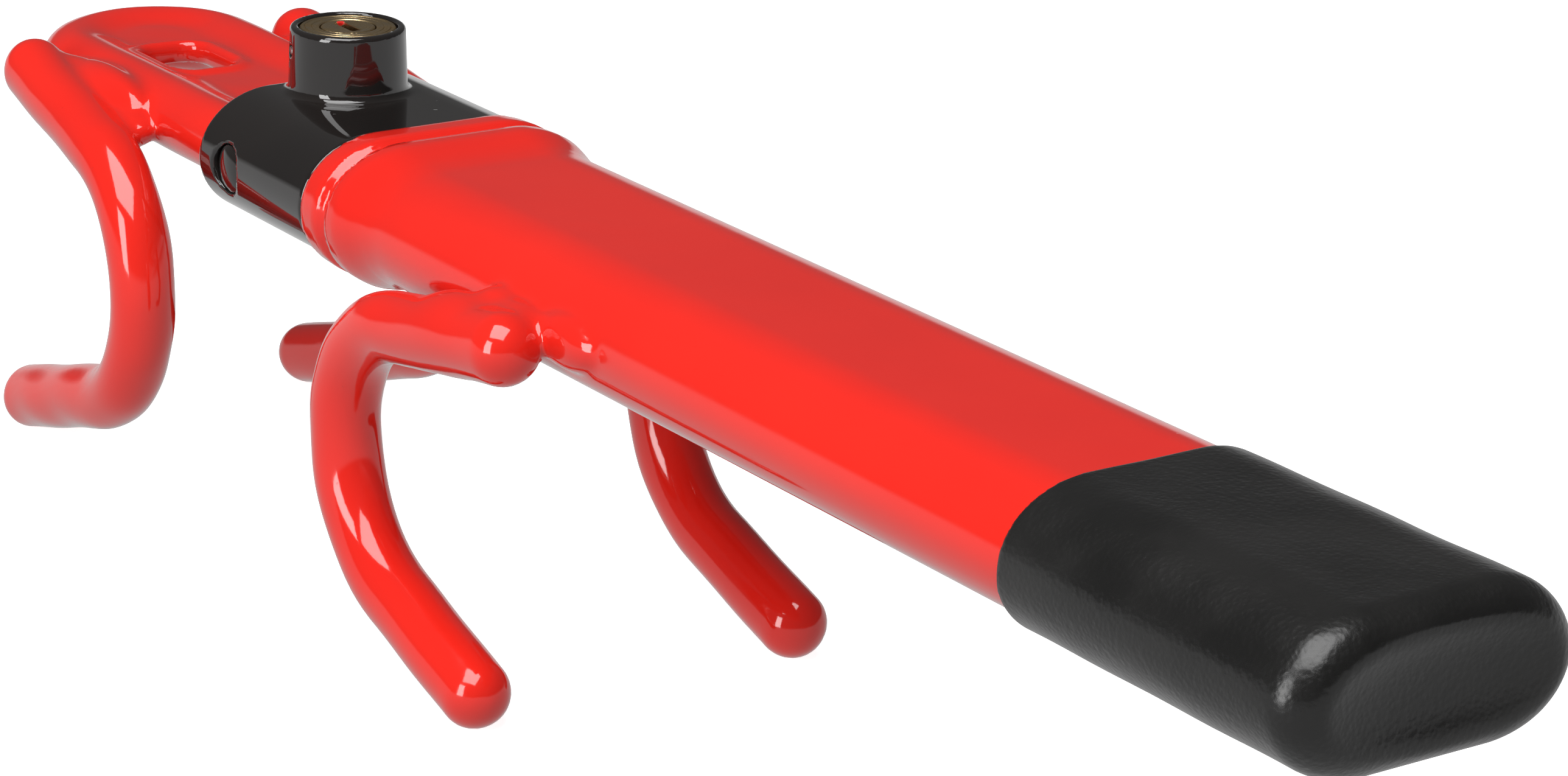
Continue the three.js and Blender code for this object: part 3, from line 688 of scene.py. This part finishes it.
# %% Notched legs in Geometry Nodes
class Tree:
    """A geometry node tree with named inputs."""

    def __init__(self, name):
        self.tree = bpy.data.node_groups.new(name, "GeometryNodeTree")
        self.tree.interface.new_socket("Geometry", in_out="OUTPUT",
                                       socket_type="NodeSocketGeometry")
        self.ids = {}
        self.start = self.tree.nodes.new("NodeGroupInput")

    def size(self, name, kind, value):
        socket = self.tree.interface.new_socket(name, in_out="INPUT",
                                                socket_type="NodeSocket" + kind)
        self.ids[name] = (socket.identifier, value)
        return self.start.outputs[name]

    def node(self, kind, settings=None, sockets=None, out=0):
        made = self.tree.nodes.new(kind)
        for key, value in (settings or {}).items():
            setattr(made, key, value)
        for key, value in (sockets or {}).items():
            for one in value if isinstance(value, list) else [value]:
                if isinstance(one, bpy.types.NodeSocket):
                    self.tree.links.new(one, made.inputs[key])
                else:
                    made.inputs[key].default_value = one
        return made.outputs[out]

    def finish(self, geometry, material):
        real = self.node("GeometryNodeRealizeInstances", None, {0: geometry})
        done = self.node("GeometryNodeSetMaterial", None, {0: real, "Material": material})
        end = self.tree.nodes.new("NodeGroupOutput")
        self.tree.links.new(done, end.inputs[0])

    def mesh(self, name):
        """Runs the tree once and returns its plain mesh as a new object."""
        holder = bpy.data.objects.new(name + "_maker", bpy.data.meshes.new(name + "_maker"))
        bpy.context.scene.collection.objects.link(holder)
        modifier = holder.modifiers.new(name, "NODES")
        modifier.node_group = self.tree
        for identifier, value in self.ids.values():
            modifier[identifier] = value
        depsgraph = bpy.context.evaluated_depsgraph_get()
        mesh = bpy.data.meshes.new_from_object(holder.evaluated_get(depsgraph))
        holder.modifiers.remove(modifier)
        bpy.data.objects.remove(holder)
        mesh.name = name
        piece = bpy.data.objects.new(name, mesh)
        bpy.context.scene.collection.objects.link(piece)
        print(name, len(mesh.vertices), "points", len(mesh.polygons), "faces")
        return piece


NOTCH_COUNT, NOTCH_PITCH = 20, 12.0
NOTCH_CUTTER = (0.008, 0.0058, 0.018)  # metres: along, across and up


def notched_legs():
    tree = Tree("notched_legs")
    low, high = to_metres((COAT_END + GAP, 0, 0)), to_metres((0, 0, 0))
    leg_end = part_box("leg_left")[1][0]
    radius = tree.size("Bar Radius", "Float", BAR_RADIUS / 1000)
    length = tree.size("Leg Length", "Float", float(leg_end - low[0]))
    count = tree.size("Notch Count", "Int", NOTCH_COUNT)
    pitch = tree.size("Notch Pitch", "Vector", (NOTCH_PITCH / 1000, 0.0, 0.0))
    cutter = tree.size("Notch Size", "Vector", NOTCH_CUTTER)
    bar = tree.node("GeometryNodeMeshCylinder", None,
                    {"Vertices": 64, "Radius": radius, "Depth": length})
    middle = ((low[0] + leg_end) / 2, LEG_Y / 1000, high[2])
    bar = tree.node("GeometryNodeTransform", None,
                    {"Geometry": bar, "Rotation": (0, math.pi / 2, 0), "Translation": middle})
    first = (high[0], (LEG_Y - BAR_RADIUS) / 1000, high[2])
    row = tree.node("GeometryNodeMeshLine", {"mode": "OFFSET"},
                    {"Count": count, "Start Location": first, "Offset": pitch})
    box = tree.node("GeometryNodeMeshCube", None, {"Size": cutter})
    cutters = tree.node("GeometryNodeInstanceOnPoints", None, {"Points": row, "Instance": box})
    cutters = tree.node("GeometryNodeRealizeInstances", None, {0: cutters})
    leg = tree.node("GeometryNodeMeshBoolean", {"operation": "DIFFERENCE", "solver": "EXACT"},
                    {"Mesh 1": bar, "Mesh 2": cutters})
    other = tree.node("GeometryNodeTransform", None,
                      {"Geometry": leg, "Rotation": (math.pi, 0, 0),
                       "Translation": (0, 0, 2 * high[2])})
    both = tree.node("GeometryNodeJoinGeometry", None, {"Geometry": [leg, other]})
    tree.finish(both, DRAWN_STEEL)
    return tree.mesh("notched_legs")


legs_piece = notched_legs()
legs_piece.data.shade_smooth()
legs_piece.data.set_sharp_from_angle(angle=math.radians(35))
belongs(legs_piece, "extension", "bare_steel", "leg_left", "leg_right")

# %% [markdown]
# ## The grip
# The end of the tube was dipped again in black. The cap's end is rounded all round and has sunk
# into a shallow oval dish over the tube's open end.

# %% Grip
GRIP_END = node_span("grip_sleeve")[1][0] - ORIGIN[0]
GRIP_LENGTH, GRIP_SKIN, GRIP_ROUND = 72, 1.3, 7.5


def grip_cap(points):
    front = GRIP_END - GRIP_LENGTH
    skin = prism(points, GRIP_SKIN + wobble(points, 0.08), front - 30, GRIP_END, GRIP_ROUND)
    skin = rounded(skin, front - points[:, 0], 0.7)
    dish = lump(points, (GRIP_END + 1.8, 0, 0.4), (4.4, 24.5, 10.4))
    skin = carve(skin, dish, 1.8)
    # The bore lies inside the tube's wall, so that the net never has a thin skin to cross.
    bore = np.maximum(oval(points, -0.9), points[:, 0] - TUBE_END - GAP)
    return carve(skin, bore, 0.2)


grip_piece = netted_piece(
    "grip_cap", grip_cap, (TUBE_END - 66, -30, -15), (TUBE_END + 10, 30, 15),
    0.8, BLACK_VINYL)
belongs(grip_piece, "tube", "black_vinyl", "grip_sleeve")

# %% [markdown]
# ## The lock housing
# A casting with a flat-oval body that fills the tube's mouth and a round boss for the cylinder.
# Cast edges are rounded, and the boss stands on a small fillet.

# %% Housing
HOUSING_PROUD = 1.0  # how far it stands outside the tube's section
HOUSING_TOP = TUBE_HEIGHT / 2 + HOUSING_PROUD
HOUSING_SIDE = TUBE_WIDTH / 2 + HOUSING_PROUD
BOSS_HEIGHT, BOSS_FOOT, BOSS_DRAFT = 13.5, 12.15, 0.45
BOSS_TOP = HOUSING_TOP + BOSS_HEIGHT
FACE_Z = BOSS_TOP - 0.4
PIN_ANGLE = math.radians(253)
PIN_Z = BOSS_TOP - 4.9


def housing(points):
    x, y, z = points.T
    body = prism(points, HOUSING_PROUD, HOUSING_FRONT, MOUTH_X, 1.0)
    taper = BOSS_FOOT - BOSS_DRAFT * np.clip((z - HOUSING_TOP) / BOSS_HEIGHT, 0, 1)
    boss = post(points, taper, 5.0, BOSS_TOP, 0.9)
    body = meet(body, boss, 1.8)
    spigot = prism(points, -TUBE_WALL - 0.05, MOUTH_X - 2,
                   MOUTH_X + SPIGOT_LENGTH, 0.5)
    body = np.minimum(body, spigot)
    leg = np.hypot(np.abs(y) - LEG_Y, z) - BAR_RADIUS - 0.1
    for tool in (
        post(points, 10.05, 5.3, BOSS_TOP + 9, 0.1), post(points, 7.2, -7, 20, 0.1),
        post(points, 3.8, -40, 40, 0.1, 1), leg,
        np.maximum(np.hypot(x, z) - 5.1, HOUSING_SIDE - 3.0 - np.abs(y)),
    ):
        body = carve(body, tool, 0.5)
    along = x * math.cos(PIN_ANGLE) + y * math.sin(PIN_ANGLE)
    across = np.hypot(-x * math.sin(PIN_ANGLE) + y * math.cos(PIN_ANGLE), z - PIN_Z)
    return carve(body, np.maximum(across - 1.25, -along), 0.4)


housing_piece = netted_piece(
    "housing_casting", housing, (-13, -29, -14), (MOUTH_X + 31, 29, 27.5),
    0.55, BLACK_PAINT)
belongs(housing_piece, "tube", "black_paint", "lock_housing")

# %% [markdown]
# ## Turned pieces
# The cylinder's shell, the side plugs and the little pin in the boss come off a lathe, so each is
# a profile spun round its axis.

# %% Lathe
def turned(name, profile, material, frame_of=None, sides=96, sharp=30):
    """Spins closed (radius, height) outlines, given outside-up, round Z, then places them."""
    points, faces = [], []
    for outline, place in zip(profile, frame_of or [Matrix.Identity(4)] * len(profile)):
        base, n = len(points), len(outline)
        for i in range(sides):
            a = 2 * math.pi * i / sides
            points += [place @ Vector((r * math.cos(a), r * math.sin(a), h))
                       for r, h in outline]
        for i in range(sides):
            j = (i + 1) % sides
            for k in range(n):
                m = (k + 1) % n
                faces.append((base + i * n + k, base + j * n + k, base + j * n + m,
                              base + i * n + m))
    piece = new_piece(name, [tuple(p) for p in points], faces, material)
    weld_poles(piece.data)
    piece.data.set_sharp_from_angle(angle=math.radians(sharp))
    return piece


def weld_poles(mesh):
    body = bmesh.new()
    body.from_mesh(mesh)
    bmesh.ops.remove_doubles(body, verts=body.verts, dist=1e-6)
    bmesh.ops.dissolve_degenerate(body, edges=body.edges, dist=1e-7)
    bmesh.ops.recalc_face_normals(body, faces=body.faces)
    body.to_mesh(mesh)
    body.free()


SHELL_PROFILE = [
    (9.75, 5.6), (9.75, 26.05), (9.5, 26.3), (8.95, 26.3), (8.75, 26.12), (8.55, 26.3),
    (7.5, 26.3), (7.35, 26.18), (7.2, 26.3), (6.0, 26.3), (5.8, 26.1), (5.8, 24.9),
    (6.6, 24.5), (6.6, 8.0), (2.9, 8.0), (2.9, 5.6),
]
shell_piece = turned("cylinder_shell", [SHELL_PROFILE], TURNED_BRASS)
belongs(shell_piece, "tube", "lock_brass", "lock_shell")

# %% Side plugs and boss pin
PLUG_DISC = [(0, 0), (4.3, 0), (4.8, 0.4), (4.8, 1.0), (4.65, 1.2), (3.6, 1.75), (2.4, 2.1),
             (1.2, 2.28), (0, 2.32)]
side_places = [
    Matrix.Translation((0, s * (HOUSING_SIDE - 2.6), 0)) @ Matrix.Rotation(-s * math.pi / 2, 4, "X")
    for s in (-1, 1)
]
plugs_piece = turned("side_plug_discs", [PLUG_DISC] * 2, BLACK_PAINT, side_places)
belongs(plugs_piece, "tube", "black_paint", "side_plug_left", "side_plug_right")

PIN = [(0, 8.45), (0.95, 8.45), (0.95, 11.5), (0.7, 11.75), (0, 11.75)]
pin_place = (Matrix.Translation((0, 0, PIN_Z)) @ Matrix.Rotation(PIN_ANGLE, 4, "Z")
             @ Matrix.Rotation(math.pi / 2, 4, "Y"))
pin_piece = turned("boss_pin", [PIN], DRAWN_STEEL, [pin_place], 32)
belongs(pin_piece, "tube", "bare_steel", "shell_pin")

# %% [markdown]
# ## The key plug
# The plug turns in the shell. Its keyway has rounded corners and runs through the slots of the
# five wafers, and a squared tail below drives the cam.

# %% Key plug
WAFER_COUNT, WAFER_FIRST, WAFER_PITCH = 5, 2.6, 2.1


def key_plug(points):
    body = post(points, 5.5, 8.3, FACE_Z, 0.25)
    body = np.minimum(body, post(points, 2.6, 3.3, 9, 0.1))
    body = np.minimum(body, block(points, (0, 0, -0.25), (1.8, 1.8, 5.25), 0.1))
    groove = post(points, 30, -4.7, -3.5, 0.1)
    body = carve(body, np.maximum(groove, 1.3 - np.hypot(points[:, 0], points[:, 1])), 0.1)
    body = carve(body, block(points, (0, 0, FACE_Z), (3.8, 1.1, 12.5), 0.5), 0.3)
    for i in range(WAFER_COUNT):
        depth = WAFER_FIRST + WAFER_PITCH * i
        slot = block(points, (0, 0, FACE_Z - depth), (15, 2.9, 0.85), 0.1)
        body = carve(body, slot, 0.1)
    return body


PLUG_BRASS = turned_brass("plug_brass", (-3.8, 0.4, FACE_Z))
plug_piece = netted_piece("key_plug", key_plug, (-6, -6, -6), (6, 6, 27),
                          0.25, PLUG_BRASS, 40)
belongs(plug_piece, "plug", "lock_brass", "lock_plug")

# %% [markdown]
# ## Inner works
# The cam, clip, bolts, leg guide, pins and wafers are already the right shape in the frame, so
# they keep their own meshes and get the real finishes.

# %% Finishes for the carried-over pieces
shown = 0
for name, node in frame["nodes"].items():
    if node.hide_render:
        continue
    finish = TURNED_BRASS if name.startswith("wafer") else DRAWN_STEEL
    for slot in node.material_slots:
        slot.material = finish
    shown += 1
print("carried over", shown, "pieces")
